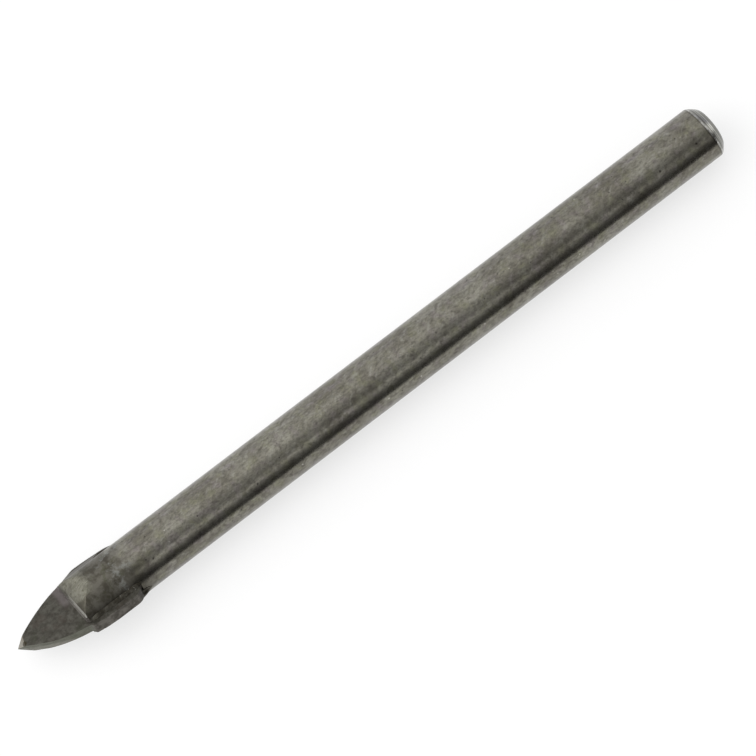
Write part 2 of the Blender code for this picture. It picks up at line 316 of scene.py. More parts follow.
def mill_steel():
    """Dull shank steel: fine grain, pits, a heat-blotched nose and a turned rear end, with painted shade
    behind the plate's tail and a painted highlight, reflection and glint on the lips and rear end.
    """
    material, nodes, shader = new_material("mill_steel")
    place, x, y, z = nodes.bit_axes()
    front = FRONT_X / MM
    rear = REAR_X / MM
    stretched = nodes.add("ShaderNodeMapping", {"Vector": place, "Scale": (0.45, 1, 1)}).outputs[0]

    cloud = nodes.noise(place, 0.30, 3, 0.6)
    color = nodes.blend(nodes.step(cloud, 0.35, 0.65), (0.163, 0.153, 0.127), (0.243, 0.234, 0.197))
    green = nodes.noise(place, 0.9, 3, 0.6)
    color = nodes.blend(nodes.step(green, 0.52, 0.66, 0.0, 0.60), color, (0.206, 0.203, 0.142))
    color = nodes.blend(nodes.step(green, 0.47, 0.34, 0.0, 0.60), color, (0.212, 0.190, 0.184))
    patch = nodes.noise(place, 1.5, 4, 0.7, 0.4)
    color = nodes.blend(nodes.step(patch, 0.47, 0.30, 0.0, 0.58), color, (0.085, 0.078, 0.064))
    color = nodes.blend(nodes.step(patch, 0.53, 0.70, 0.0, 0.52), color, (0.300, 0.292, 0.258))
    slanted = nodes.add(
        "ShaderNodeMapping", {"Vector": place, "Rotation": (0, 0, 0.75), "Scale": (1.10, 0.30, 0.55)},
        vector_type="TEXTURE",
    ).outputs[0]
    streak = nodes.noise(slanted, 1.0, 3, 0.6)
    color = nodes.blend(nodes.step(streak, 0.46, 0.30, 0.0, 0.48), color, (0.110, 0.102, 0.082))
    color = nodes.blend(nodes.step(streak, 0.55, 0.72, 0.0, 0.48), color, (0.290, 0.285, 0.250))
    grain = nodes.noise(stretched, 5.0, 4, 0.75)
    color = nodes.blend(nodes.step(grain, 0.30, 0.60), nodes.blend(0.50, color, (0.04, 0.036, 0.03)), color)
    color = nodes.blend(nodes.step(grain, 0.60, 0.82, 0.0, 0.50), color, (0.38, 0.37, 0.33))

    # Pits, bright flecks and two deep pits near the rear
    in_pit = nodes.dots(place, scale=1.9, channel="Red", lowest=0.55, largest=0.17)
    pit = nodes.math("GREATER_THAN", in_pit, 0.0)
    color = nodes.blend(nodes.times(nodes.step(in_pit, 0.0, 0.05), 0.75), color, (0.030, 0.026, 0.022))
    in_fleck = nodes.dots(place, scale=1.3, channel="Green", lowest=0.70, largest=0.13)
    fleck = nodes.step(in_fleck, 0.0, 0.04)
    color = nodes.blend(nodes.times(fleck, 0.7), color, (0.48, 0.47, 0.43))
    for deep_pit in DEEP_PITS:
        ragged = nodes.plus(nodes.measure("DISTANCE", place, deep_pit), nodes.times(patch, 0.12))
        color = nodes.blend(nodes.step(ragged, 0.20, 0.10, 0.0, 0.85), color, (0.022, 0.018, 0.014))

    # Heat and flux on the nose behind the ground cheeks
    wander = nodes.noise(place, 0.9, 4, 0.65)
    reach = nodes.stray(x, wander, 4.0)
    heated = nodes.step(reach, front + 5.8, front + 4.0)
    scorch = nodes.noise(place, 1.3, 5, 0.66, 0.3)
    scorched = nodes.blend(nodes.step(scorch, 0.36, 0.64), (0.056, 0.051, 0.039), (0.122, 0.115, 0.097))
    color = nodes.blend(nodes.times(heated, 0.92), color, scorched)
    flux = nodes.noise(place, 1.05, 5, 0.74, 0.2)
    flux_mask = nodes.times(
        nodes.step(reach, front + 2.2, front + 3.4),
        nodes.step(reach, front + 5.6, front + 4.8),
        nodes.step(flux, 0.49, 0.64),
    )
    color = nodes.blend(nodes.times(flux_mask, 0.62), color, (0.25, 0.255, 0.24))
    moss = nodes.noise(place, 1.6, 3, 0.6)
    moss_mask = nodes.times(heated, nodes.step(moss, 0.56, 0.68))
    color = nodes.blend(nodes.times(moss_mask, 0.45), color, (0.060, 0.064, 0.034))

    # Soot and painted shade on the steel behind the plate's tail, on its -Y side only
    behind_tail = nodes.stray(x, wander, 2.0)
    # Darker here partly for soot and partly as painted shade on the shaded side
    soot_and_painted_shade = nodes.times(
        nodes.step(behind_tail, TAIL_X / MM - 0.7, TAIL_X / MM + 0.1),
        nodes.step(behind_tail, TAIL_X / MM + 2.6, TAIL_X / MM + 0.2),
        nodes.step(y, -1.2, -1.7),
        0.70,
    )
    color = nodes.blend(soot_and_painted_shade, color, (0.046, 0.041, 0.032))

    # Freshly ground cheeks, whose light part ends along a plane that leans over the axis
    ground = nodes.add("ShaderNodeAttribute", attribute_name="ground").outputs["Fac"]
    depth = nodes.math("ABSOLUTE", z)
    across = nodes.times(y, nodes.math("SIGN", z))
    over_axis = nodes.plus(nodes.times(across, 0.77), nodes.times(depth, 0.64))
    beyond = nodes.times(
        nodes.step(x, front + 2.10, front + 1.70),
        nodes.step(over_axis, 0.15, 0.55),
        nodes.step(depth, 0.6, 1.1),
        0.85,
    )
    ground = nodes.math("MAXIMUM", ground, beyond)
    ground_mask = nodes.step(nodes.stray(ground, nodes.noise(place, 3.0, 3, 0.6), 0.9), 0.30, 0.75)
    wheel_lay = nodes.add("ShaderNodeMapping", {"Vector": place, "Scale": (1.0, 5.0, 1.0)}).outputs[0]
    wheel = nodes.noise(wheel_lay, 2.2, 4, 0.7)
    ground_color = nodes.blend(nodes.step(wheel, 0.30, 0.70), (0.116, 0.113, 0.090), (0.200, 0.195, 0.160))
    specked = nodes.noise(place, 4.2, 3, 0.6)
    specks = nodes.step(specked, 0.54, 0.66, 0.0, 0.60)
    ground_color = nodes.blend(specks, ground_color, (0.070, 0.062, 0.044))
    sooty = nodes.step(nodes.stray(over_axis, specked, 0.7), 0.42, 0.14, 0.0, 0.88)
    ground_color = nodes.blend(sooty, ground_color, (0.062, 0.057, 0.043))
    stained = nodes.noise(place, 1.2, 4, 0.65)
    ground_share = nodes.times(ground_mask, nodes.step(stained, 0.34, 0.56, 0.30, 0.95))
    color = nodes.blend(ground_share, color, ground_color)

    # Bright worn edge of each front lip, on its cutting half, which is also a painted highlight of the lip's
    # edge
    worn_lip_and_painted_highlight = nodes.times(
        nodes.step(x, front + 0.13, front + 0.09),
        nodes.step(depth, 0.93, 0.98),
        nodes.step(nodes.stray(across, patch, 1.2), 1.10, -0.80),
        0.90,
    )
    color = nodes.blend(worn_lip_and_painted_highlight, color, (0.56, 0.55, 0.51))

    # Turned chamfer and end face, with rings partly painted as reflection, a dark line before the border and
    # a painted glint along it
    past = nodes.plus(x, nodes.times(z, CHAMFER_TILT))
    past = nodes.plus(past, nodes.times(nodes.noise(place, 2.5, 3, 0.6), 0.08))
    border = rear - WORN_CHAMFER / MM + 0.06
    turned = nodes.step(past, border - 0.02, border + 0.05)
    unturned = nodes.minus(1.0, turned)
    # A dark line just before the chamfer's border
    dark_border_line = nodes.times(nodes.step(past, border - 0.14, border - 0.03), unturned, 0.45)
    color = nodes.blend(dark_border_line, color, (0.030, 0.027, 0.022))
    from_axis = nodes.math("SQRT", nodes.plus(nodes.times(y, y), nodes.times(z, z)))
    ring_line = nodes.add("ShaderNodeCombineXYZ", {"X": from_axis}).outputs[0]
    rings = nodes.noise(ring_line, 11.0, 3.0, 0.5)
    cut_end = nodes.step(x, rear - 0.06, rear - 0.02, 0.0, 0.65)
    rings = nodes.plus(rings, nodes.times(nodes.minus(0.5, rings), cut_end))
    # The rings' light and dark bands are turning marks and partly a painted reflection
    turned_color_and_painted_reflection = nodes.blend(nodes.step(rings, 0.35, 0.65), (0.090, 0.087, 0.075), (0.33, 0.33, 0.31))
    color = nodes.blend(turned, color, turned_color_and_painted_reflection)
    # A painted glint along the chamfer's border, made patchy by a noise
    border_painted_glint = nodes.times(
        turned, nodes.step(past, border + 0.18, border + 0.12), nodes.step(patch, 0.38, 0.56, 0.15, 0.75)
    )
    color = nodes.blend(border_painted_glint, color, (0.58, 0.57, 0.54))

    roughness = nodes.step(grain, 0.25, 0.75, 0.27, 0.17)
    roughness = nodes.plus(roughness, nodes.times(heated, 0.24))
    roughness = nodes.plus(roughness, nodes.times(nodes.step(x, front + 0.02, front + 0.005), 0.30))
    height = nodes.times(nodes.noise(stretched, 7.0, 5, 0.7), 0.5)
    height = nodes.plus(height, nodes.times(pit, unturned, -0.6))
    height = nodes.plus(height, nodes.times(rings, turned, 2.5))
    finish_metal(nodes, shader, color, roughness, height, metallic=1.0, strength=0.35, depth=0.02 * MM)
    return material


def sintered_carbide():
    """Dark mottled carbide, with lighter ground flanks and a pale thinned facet at the point."""
    material, nodes, shader = new_material("sintered_carbide")
    place, x, y, z = nodes.bit_axes()
    tip = TIP_X / MM
    front = FRONT_X / MM
    mottle = nodes.noise(place, 1.8, 5, 0.67, 0.15)
    color = nodes.blend(nodes.step(mottle, 0.32, 0.70), (0.043, 0.040, 0.032), (0.088, 0.084, 0.071))
    tint = nodes.noise(place, 0.8, 3, 0.6)
    color = nodes.blend(nodes.step(tint, 0.52, 0.66, 0.0, 0.35), color, (0.045, 0.050, 0.032))
    color = nodes.blend(nodes.step(tint, 0.46, 0.34, 0.0, 0.35), color, (0.055, 0.042, 0.034))
    grit = nodes.noise(place, 9.0, 4, 0.75)
    color = nodes.blend(nodes.step(grit, 0.62, 0.78, 0.0, 0.4), color, (0.12, 0.12, 0.10))
    color = nodes.blend(nodes.step(grit, 0.38, 0.25, 0.0, 0.6), color, (0.018, 0.016, 0.012))

    # Ground flanks of the point, then the braze-stained flanks of the tang, darkened towards the tail by
    # painted shade
    half = HALF_THICKNESS / MM
    height_in = nodes.math("ABSOLUTE", z)
    flank = nodes.step(height_in, half - 0.004, half - 0.022)
    in_point = nodes.step(x, front + 0.25, front - 0.10)
    wheel_lay = nodes.add("ShaderNodeMapping", {"Vector": place, "Scale": (0.5, 0.5, 6.0)}).outputs[0]
    wheel = nodes.noise(wheel_lay, 2.5, 4, 0.7)
    flank_color = nodes.blend(nodes.step(wheel, 0.30, 0.70), (0.072, 0.074, 0.052), (0.135, 0.135, 0.104))
    fresh = nodes.blend(nodes.step(wheel, 0.30, 0.70), (0.125, 0.122, 0.098), (0.215, 0.210, 0.178))
    land_width = nodes.step(x, front - 2.6, front - 0.9, -0.05, half + 0.05)
    land = nodes.step(nodes.plus(z, land_width), 0.06, -0.06)
    flank_color = nodes.blend(land, flank_color, fresh)
    color = nodes.blend(nodes.times(flank, in_point), color, flank_color)
    stain_color = nodes.blend(nodes.step(mottle, 0.34, 0.66), (0.066, 0.060, 0.050), (0.135, 0.125, 0.110))
    # Painted shade on the tang's flank towards its tail, where it turns away
    tail_painted_shade = nodes.step(x, TAIL_X / MM - 0.80, TAIL_X / MM - 0.35)
    stain_color = nodes.blend(nodes.times(tail_painted_shade, 0.8), stain_color, (0.022, 0.018, 0.013))
    tang_flank = nodes.times(flank, nodes.minus(1.0, in_point))
    color = nodes.blend(tang_flank, color, stain_color)

    # The strip beside the steel, wetted by the braze on its +Y side, and the zone that its heat tinged
    wetted = nodes.times(
        nodes.step(y, 2.05, 2.30), nodes.step(y, 2.94, 2.80), nodes.step(x, front - 0.30, front + 0.20), 0.85
    )
    color = nodes.blend(wetted, color, (0.185, 0.180, 0.168))
    tinged = nodes.times(
        nodes.step(x, front - 0.90, front - 0.45),
        nodes.step(y, 0.0, 0.9),
        nodes.step(x, front + 0.05, front - 0.05),
        0.60,
    )
    color = nodes.blend(tinged, color, (0.150, 0.132, 0.130))

    # Thinned facets, and the brown stain at the point
    lead = Vector(((TIP_X - THIN_LEAD) / MM, drift(TIP_X - THIN_LEAD) / MM, 0))
    skew = Matrix.Rotation(-THIN_SKEW, 3, "Z") @ Matrix.Rotation(-THIN_SLOPE, 3, "Y")
    for turn in (0, pi):
        facet_axis = Matrix.Rotation(turn, 3, "X") @ skew @ Vector((0, 0, 1))
        along = nodes.measure("DOT_PRODUCT", place, tuple(facet_axis))
        off = nodes.math("ABSOLUTE", nodes.minus(along, lead.dot(facet_axis)))
        facet = nodes.times(nodes.step(off, 0.012, 0.004), nodes.step(x, tip + 1.6, tip + 1.4))
        toward_steel = nodes.step(x, tip + 0.45, tip + 0.95)
        facet_color = nodes.blend(toward_steel, (0.27, 0.255, 0.22), (0.15, 0.125, 0.095))
        color = nodes.blend(facet, color, facet_color)
    ragged = nodes.plus(nodes.measure("DISTANCE", place, (*POINT_STAIN, half)), nodes.times(mottle, 0.30))
    color = nodes.blend(nodes.times(nodes.step(ragged, 0.40, 0.30), 0.85), color, (0.036, 0.029, 0.016))

    height = nodes.plus(nodes.times(grit, 0.7), nodes.times(mottle, 0.6))
    roughness = nodes.step(mottle, 0.3, 0.7, 0.50, 0.36)
    finish_metal(nodes, shader, color, roughness, height, metallic=0.9, strength=0.6, depth=0.03 * MM)
    return material


def braze_alloy():
    """Dull uneven braze, lighter past the plate's tail, with a painted highlight across the front."""
    material, nodes, shader = new_material("braze_alloy")
    place, x, y, z = nodes.bit_axes()
    blotch = nodes.noise(place, 2.2, 4, 0.65)
    color = nodes.blend(nodes.step(blotch, 0.40, 0.66), (0.036, 0.032, 0.024), (0.070, 0.066, 0.054))
    front = FRONT_X / MM
    # The bead across the front is painted lighter as a painted highlight, and made rougher
    across_front = nodes.step(x, front + 0.16, front + 0.04)
    color = nodes.blend(nodes.times(across_front, 0.9), color, (0.130, 0.118, 0.110))
    across = nodes.times(y, nodes.math("SIGN", z))
    # A brighter painted highlight on part of the front
    front_painted_highlight = nodes.times(
        across_front, nodes.step(across, 1.30, -0.30), nodes.step(across, -1.85, -1.60), 0.80
    )
    color = nodes.blend(front_painted_highlight, color, (0.225, 0.213, 0.193))
    run_out = nodes.step(x, TAIL_X / MM + 0.1, TAIL_X / MM + 0.6)
    color = nodes.blend(run_out, color, (0.150, 0.143, 0.120))
    grit = nodes.noise(place, 8.0, 4, 0.7)
    color = nodes.blend(nodes.step(grit, 0.40, 0.26, 0.0, 0.6), color, (0.03, 0.026, 0.02))
    roughness = nodes.plus(0.38, nodes.times(across_front, 0.32))
    finish_metal(nodes, shader, color, roughness, grit, metallic=0.9, strength=0.5, depth=0.03 * MM)
    return material


def flux_crust():
    """Grey-white flux left in grains on the seam."""
    material, nodes, shader = new_material("flux_crust")
    shade = nodes.noise(nodes.bit_axes()[0], 3.0, 3, 0.6)
    color = nodes.blend(nodes.step(shade, 0.38, 0.62), (0.07, 0.066, 0.052), (0.30, 0.30, 0.275))
    nodes.feed(shader.inputs["Base Color"], color)
    shader.inputs["Roughness"].default_value = 0.6
    return material


def drift(x):
    """Sideways offset of the ground point, which fades out round the shoulder."""
    to_tip = 1 - (x - APEX_X) / TIP_DRIFT_LENGTH
    past_shoulder = (x - APEX_X - POINT_LENGTH) / SHOULDER_RUN
    return POINT_OFFSET * (1 - min(max(past_shoulder, 0), 1)) + TIP_DRIFT * max(to_tip, 0) ** 2


def object_from_bmesh(name, shape):
    """Link a new object made from a bmesh."""
    bmesh.ops.recalc_face_normals(shape, faces=shape.faces)
    mesh = bpy.data.meshes.new(name)
    shape.to_mesh(mesh)
    shape.free()
    made = bpy.data.objects.new(name, mesh)
    bpy.context.scene.collection.objects.link(made)
    return made


def settle(made):
    """Turn an object's modifiers into a plain mesh."""
    bpy.context.view_layer.update()
    mesh = bpy.data.meshes.new_from_object(made.evaluated_get(bpy.context.evaluated_depsgraph_get()))
    old = made.data
    made.modifiers.clear()
    made.data = mesh
    bpy.data.meshes.remove(old)


def cut(target, cutter):
    """Cut one object with another, and remove the cutter."""
    modifier = target.modifiers.new("cut", "BOOLEAN")
    modifier.operation = "DIFFERENCE"
    modifier.solver = "EXACT"
    modifier.object = cutter
    settle(target)
    bpy.data.objects.remove(cutter, do_unlink=True)


def new_tree(name, numbers):
    """Make a geometry node tree with a geometry input, named number inputs and an output."""
    tree = bpy.data.node_groups.new(name, "GeometryNodeTree")
    tree.interface.new_socket("Geometry", in_out="INPUT", socket_type="NodeSocketGeometry")
    for label in numbers:
        tree.interface.new_socket(label, in_out="INPUT", socket_type="NodeSocketFloat")
    tree.interface.new_socket("Geometry", in_out="OUTPUT", socket_type="NodeSocketGeometry")
    nodes = NodeTree(tree)
    return nodes, nodes.add("NodeGroupInput").outputs, nodes.add("NodeGroupOutput")


def close_tree(nodes, output, geometry, material):
    """End a geometry node tree with realized instances and its material."""
    real = nodes.add("GeometryNodeRealizeInstances", {"Geometry": geometry}).outputs[0]
    dressed = nodes.add("GeometryNodeSetMaterial", {"Geometry": real, "Material": material}).outputs[0]
    nodes.feed(output.inputs[0], dressed)


def grow(base, tree, numbers):
    """Run a geometry node tree on a base object, and keep its result as a plain mesh."""
    modifier = base.modifiers.new(tree.name, "NODES")
    modifier.node_group = tree
    for item in tree.interface.items_tree:
        if item.item_type == "SOCKET" and item.name in numbers:
            modifier[item.identifier] = numbers[item.name]
    settle(base)


def path_object(name, points, attributes):
    """Link a polyline mesh with a number attribute on its points for each name."""
    mesh = bpy.data.meshes.new(name)
    mesh.from_pydata(points, [(index, index + 1) for index in range(len(points) - 1)], [])
    for label, values in attributes.items():
        layer = mesh.attributes.new(label, "FLOAT", "POINT")
        layer.data.foreach_set("value", values)
    made = bpy.data.objects.new(name, mesh)
    bpy.context.scene.collection.objects.link(made)
    return made


def spread(low, high, spacing):
    """List even steps from low up to but without high, about a spacing apart."""
    count = max(int(round((high - low) / spacing)), 1)
    return [low + (high - low) * index / count for index in range(count)]


def positions(nodes):
    """Give the points' places as a vector and as X, Y and Z."""
    place = nodes.add("GeometryNodeInputPosition").outputs[0]
    return place, *nodes.add("ShaderNodeSeparateXYZ", {0: place}).outputs


def moved_to(nodes, geometry, x, y, z=0.0):
    """Move a geometry's points to new places."""
    place = nodes.add("ShaderNodeCombineXYZ", {"X": x, "Y": y, "Z": z}).outputs[0]
    return nodes.add("GeometryNodeSetPosition", {"Geometry": geometry, "Position": place}).outputs[0]


def roughened(nodes, geometry, wave, amount):
    """Move a geometry's points along their normals by a wave."""
    normal = nodes.add("GeometryNodeInputNormal").outputs[0]
    offset = nodes.scaled(normal, nodes.times(wave, amount))
    return nodes.add("GeometryNodeSetPosition", {"Geometry": geometry, "Offset": offset}).outputs[0]


def unit_circle(nodes, sides):
    """Add a circle of radius 1, to be swept along a path."""
    return nodes.add("GeometryNodeCurvePrimitiveCircle", {"Resolution": sides, "Radius": 1.0}).outputs[0]


def path_number(nodes, name):
    """Read the number that a path has at each of its points."""
    return nodes.add("GeometryNodeInputNamedAttribute", {"Name": name}, data_type="FLOAT").outputs[0]


def swept_along(nodes, path, profile, width):
    """Sweep a profile along a path, as wide as the width at each point and closed at both ends."""
    line = nodes.add("GeometryNodeMeshToCurve", {"Mesh": path}).outputs[0]
    return nodes.add(
        "GeometryNodeCurveToMesh",
        {"Curve": line, "Profile Curve": profile, "Scale": width, "Fill Caps": True},
    ).outputs[0]


def on_both_faces(nodes, piece, *others):
    """Join a piece with its copy turned onto the plate's other face, and with other pieces."""
    turned = nodes.add("GeometryNodeTransform", {"Geometry": piece, "Rotation": (pi, 0, 0)}).outputs[0]
    joined = nodes.add("GeometryNodeJoinGeometry")
    for part in (piece, turned, *others):
        nodes.tree.links.new(part, joined.inputs[0])
    return joined.outputs[0]


def shank_profile():
    """List (x, radius) rings of the turned shank from its front to near the middle of its domed end."""
    chamfer_x = REAR_X - WORN_CHAMFER
    rim_x = REAR_X - END_DOME
    rings = []
    for low, high, spacing in (
        (FRONT_X, FRONT_X + 2.4 * MM, 0.045 * MM),
        (FRONT_X + 2.4 * MM, FRONT_X + 8 * MM, 0.12 * MM),
        (FRONT_X + 8 * MM, chamfer_x - TILT_RUN, 0.30 * MM),
        (chamfer_x - TILT_RUN, chamfer_x, 0.10 * MM),
    ):
        rings += [(x, SHANK_RADIUS) for x in spread(low, high, spacing)]
    for x in spread(chamfer_x, rim_x, 0.05 * MM) + [rim_x]:
        share = (x - chamfer_x) / (rim_x - chamfer_x)
        broken = RIM_BREAK * max(1 - (rim_x - x) / RIM_BREAK_RUN, 0) ** 2
        rings.append((x, SHANK_RADIUS - END_CHAMFER_DEPTH * share ** CHAMFER_CURVE - broken))
    rim_radius = rings[-1][1]
    for step in range(1, DOME_STEPS):
        share = 1 - step / DOME_STEPS
        rings.append((rim_x + END_DOME * (1 - share ** 2), rim_radius * share))
    return rings


CHEEK_INPUTS = ("Cheek Radius", "Cheek X", "Cheek Z", "Cheek End", "Chamfer Tilt", "Wear")


def shank_surface(material):
    """The turned shank: rings swept along the axis, ground to the cheeks' arc and slotted."""
    rings = shank_profile()
    made = path_object(
        "shank_surface", [(x, 0, 0) for x, _ in rings], {"turn_radius": [radius for _, radius in rings]}
    )
    nodes, given, output = new_tree("turned_and_ground", CHEEK_INPUTS)
    swept = swept_along(
        nodes, given["Geometry"], unit_circle(nodes, SHANK_SIDES), path_number(nodes, "turn_radius")
    )

    # The cheeks' arc and the lips' chamfer limit the height, up to where the cheeks end
    place, x, y, z = positions(nodes)
    from_centre = nodes.minus(x, given["Cheek X"])
    square = nodes.times(given["Cheek Radius"], given["Cheek Radius"])
    drop = nodes.minus(square, nodes.times(from_centre, from_centre))
    arc = nodes.plus(given["Cheek Z"], nodes.math("SQRT", nodes.math("MAXIMUM", drop, 0.0)))
    before = nodes.math("MAXIMUM", nodes.minus(FRONT_X + LIP_RUN, x), 0.0)
    lip = nodes.times(before, -LIP_RISE / LIP_RUN)
    past = nodes.math("GREATER_THAN", x, given["Cheek End"])
    limit = nodes.plus(nodes.plus(arc, lip), nodes.times(past, 10 * MM))
    high = nodes.math("GREATER_THAN", nodes.math("ABSOLUTE", z), limit)
    marked = nodes.add(
        "GeometryNodeStoreNamedAttribute",
        {"Geometry": swept, "Name": "ground", "Value": high},
        data_type="FLOAT", domain="POINT",
    ).outputs[0]
    clamped = nodes.math("MAXIMUM", nodes.math("MINIMUM", z, limit), nodes.times(limit, -1.0))
    chamfer_x = REAR_X - WORN_CHAMFER
    lean = nodes.times(
        nodes.step(x, chamfer_x - TILT_RUN, chamfer_x),
        nodes.step(x, REAR_X, chamfer_x, 0.2, 1.0),
        z,
        given["Chamfer Tilt"],
    )
    ground = moved_to(nodes, marked, nodes.minus(x, lean), y, clamped)

    # The noise seldom passes 0.75, so wear nearly always takes steel away. The few points that stand out do
    # so by 0.0003 mm, and none goes below the floor
    wave = nodes.minus(nodes.noise(nodes.scaled(place, 700.0), 1.0, 4, 0.6), 0.75)
    close_tree(nodes, output, roughened(nodes, ground, wave, given["Wear"]), material)
    grow(made, nodes.tree, {
        "Cheek Radius": CHEEK_RADIUS,
        "Cheek X": CHEEK_CENTRE_X,
        "Cheek Z": CHEEK_CENTRE_Z,
        "Cheek End": FRONT_X + CHEEK_LENGTH,
        "Chamfer Tilt": CHAMFER_TILT,
        "Wear": SKIN_WEAR,
    })

    slot = bmesh.new()
    length = 8 * MM
    size = Matrix.Diagonal((length, length, 2 * SLOT_HALF, 1))
    place = Matrix.Translation((SLOT_END_X - length / 2, 0, 0))
    bmesh.ops.create_cube(slot, size=1, matrix=place @ size)
    cut(made, object_from_bmesh("slot", slot))
    return made


def edge_line(relieved):
    """List (x, half width) points along one ground edge of one plate face."""
    centre_x = EDGE_RADIUS * sin(POINT_HALF_ANGLE)
    centre_drop = EDGE_RADIUS * cos(POINT_HALF_ANGLE)
    inner_radius = EDGE_RADIUS - RELIEF_INSET
    radius = inner_radius if relieved else EDGE_RADIUS
    apex_y = (EDGE_RADIUS ** 2 - inner_radius ** 2) / (4 * centre_drop)
    apex_x = centre_x - sqrt(EDGE_RADIUS ** 2 - (centre_drop + apex_y) ** 2)
    start = asin((centre_x - apex_x) / radius)
    end = asin((centre_x - POINT_LENGTH) / radius)
    line = []
    for step in range(EDGE_STEPS + 1):
        angle = start + (end - start) * step / EDGE_STEPS
        line.append((APEX_X + centre_x - radius * sin(angle), radius * cos(angle) - centre_drop))
    run_out_x = APEX_X + POINT_LENGTH + SHOULDER_RUN
    end_half = line[-1][1]
    for step in range(1, CORNER_STEPS + 1):
        angle = SHOULDER_ANGLE * (1 - step / CORNER_STEPS)
        share = (cos(angle) - cos(SHOULDER_ANGLE)) / (1 - cos(SHOULDER_ANGLE))
        half = end_half + (HALF_WIDTH - end_half) * share
        line.append((run_out_x - SHOULDER_RADIUS * sin(angle), half))
    line += [(x, HALF_WIDTH) for x in spread(run_out_x + 0.05 * MM, TAIL_X - TAIL_RADIUS, 0.05 * MM)]
    for step in range(CORNER_STEPS + 1):
        angle = pi / 2 * step / CORNER_STEPS
        half = HALF_WIDTH - TAIL_RADIUS * (1 - cos(angle))
        line.append((TAIL_X - TAIL_RADIUS * (1 - sin(angle)), half))
    return line


def wear(x):
    """Depth that one side of the plate is worn away, first at its shoulder and again towards its tail."""
    share = min(max((x - FRONT_X - WORN_FROM) / WORN_LENGTH, 0), 1)
    to_tail = min(max((x - FRONT_X - WORN_LENGTH) / (TAIL_X - FRONT_X - WORN_LENGTH), 0), 1)
    # 6.75 brings the hollow's deepest place, a third of the way along it, to the full depth
    return WORN_DEPTH * 6.75 * share * (1 - share) ** 2 + TAIL_WEAR * to_tail ** 1.6


def squared(x, half):
    """Half width on the cutting side: a bowed edge, a short steep step, then a slow rise to full width."""
    from_step = x - FRONT_X - STEP_FROM
    bowed = half + EDGE_BOW * min(max((x - APEX_X - BOW_FROM) / BOW_RUN, 0), 1)
    if from_step < 0:
        return bowed
    if from_step > CROWN_LENGTH:
        return half
    stepped = EDGE_END_HALF - RELIEF_INSET + EDGE_BOW + STEP_HEIGHT * min(from_step / STEP_LENGTH, 1)
    crown = HALF_WIDTH - CROWN_DROP * (1 - from_step / CROWN_LENGTH) ** 1.2
    return min(max(bowed, stepped), crown)


def plate_surface(material):
    """The carbide plate, lofted between its two faces, thinned at the point and softened at its edges."""
    cutting = edge_line(False)
    relieved = edge_line(True)
    shape = bmesh.new()
    rings = []
    for right, left, z in ((cutting, relieved, HALF_THICKNESS), (relieved, cutting, -HALF_THICKNESS)):
        outline = [(x, -squared(x, half)) for x, half in right]
        outline += [(x, half - wear(x)) for x, half in reversed(left)]
        rings.append([shape.verts.new((x, y + drift(x), z)) for x, y in outline])
    upper, lower = rings
    shape.faces.new(upper)
    shape.faces.new(list(reversed(lower)))
    for index in range(len(upper)):
        after = (index + 1) % len(upper)
        shape.faces.new((lower[index], lower[after], upper[after], upper[index]))
    bmesh.ops.remove_doubles(shape, verts=shape.verts, dist=0.0005 * MM)
    made = object_from_bmesh("plate_surface", shape)
    lead_x = TIP_X - THIN_LEAD
    lead = Matrix.Translation((lead_x, drift(lead_x), 0))
    skew = Matrix.Rotation(-THIN_SKEW, 4, "Z") @ Matrix.Rotation(-THIN_SLOPE, 4, "Y")
    for turn in (0, pi):
        block = bmesh.new()
        bmesh.ops.create_cube(block, size=PLATE_WIDTH, matrix=Matrix.Translation((0, 0, PLATE_WIDTH / 2)))
        block.transform(lead @ Matrix.Rotation(turn, 4, "X") @ skew)
        cut(made, object_from_bmesh("thinning", block))
    bevel = made.modifiers.new("worn edges", "BEVEL")
    bevel.width = EDGE_SOFTENING
    bevel.segments = 2
    bevel.limit_method = "ANGLE"
    bevel.angle_limit = radians(25)
    settle(made)
    made.data.materials.append(material)
    return made


def seam_path():
    """List points round one face's seam: up one side of the steel, across its front and down the other."""
    side_y = sqrt(SHANK_RADIUS ** 2 - HALF_THICKNESS ** 2) - SEAM_INSET
    inner_y = side_y - SEAM_CORNER
    corner_x = FRONT_X + SEAM_CORNER
    turns = [pi / 2 * step / SEAM_CORNER_STEPS for step in range(1, SEAM_CORNER_STEPS)]
    points = [(x, side_y) for x in reversed(spread(corner_x, SEAM_LONG_END_X, SEAM_STEP))]
    for angle in turns:
        points.append((FRONT_X + SEAM_CORNER * (1 - sin(angle)), side_y - SEAM_CORNER * (1 - cos(angle))))
    points += [(FRONT_X, y) for y in reversed(spread(-inner_y, inner_y, SEAM_STEP))]
    for angle in turns:
        points.append((FRONT_X + SEAM_CORNER * (1 - cos(angle)), -side_y + SEAM_CORNER * (1 - sin(angle))))
    points += [(x, -side_y) for x in spread(corner_x, SEAM_SHORT_END_X, SEAM_STEP)]
    return [(x, y, HALF_THICKNESS) for x, y in points]


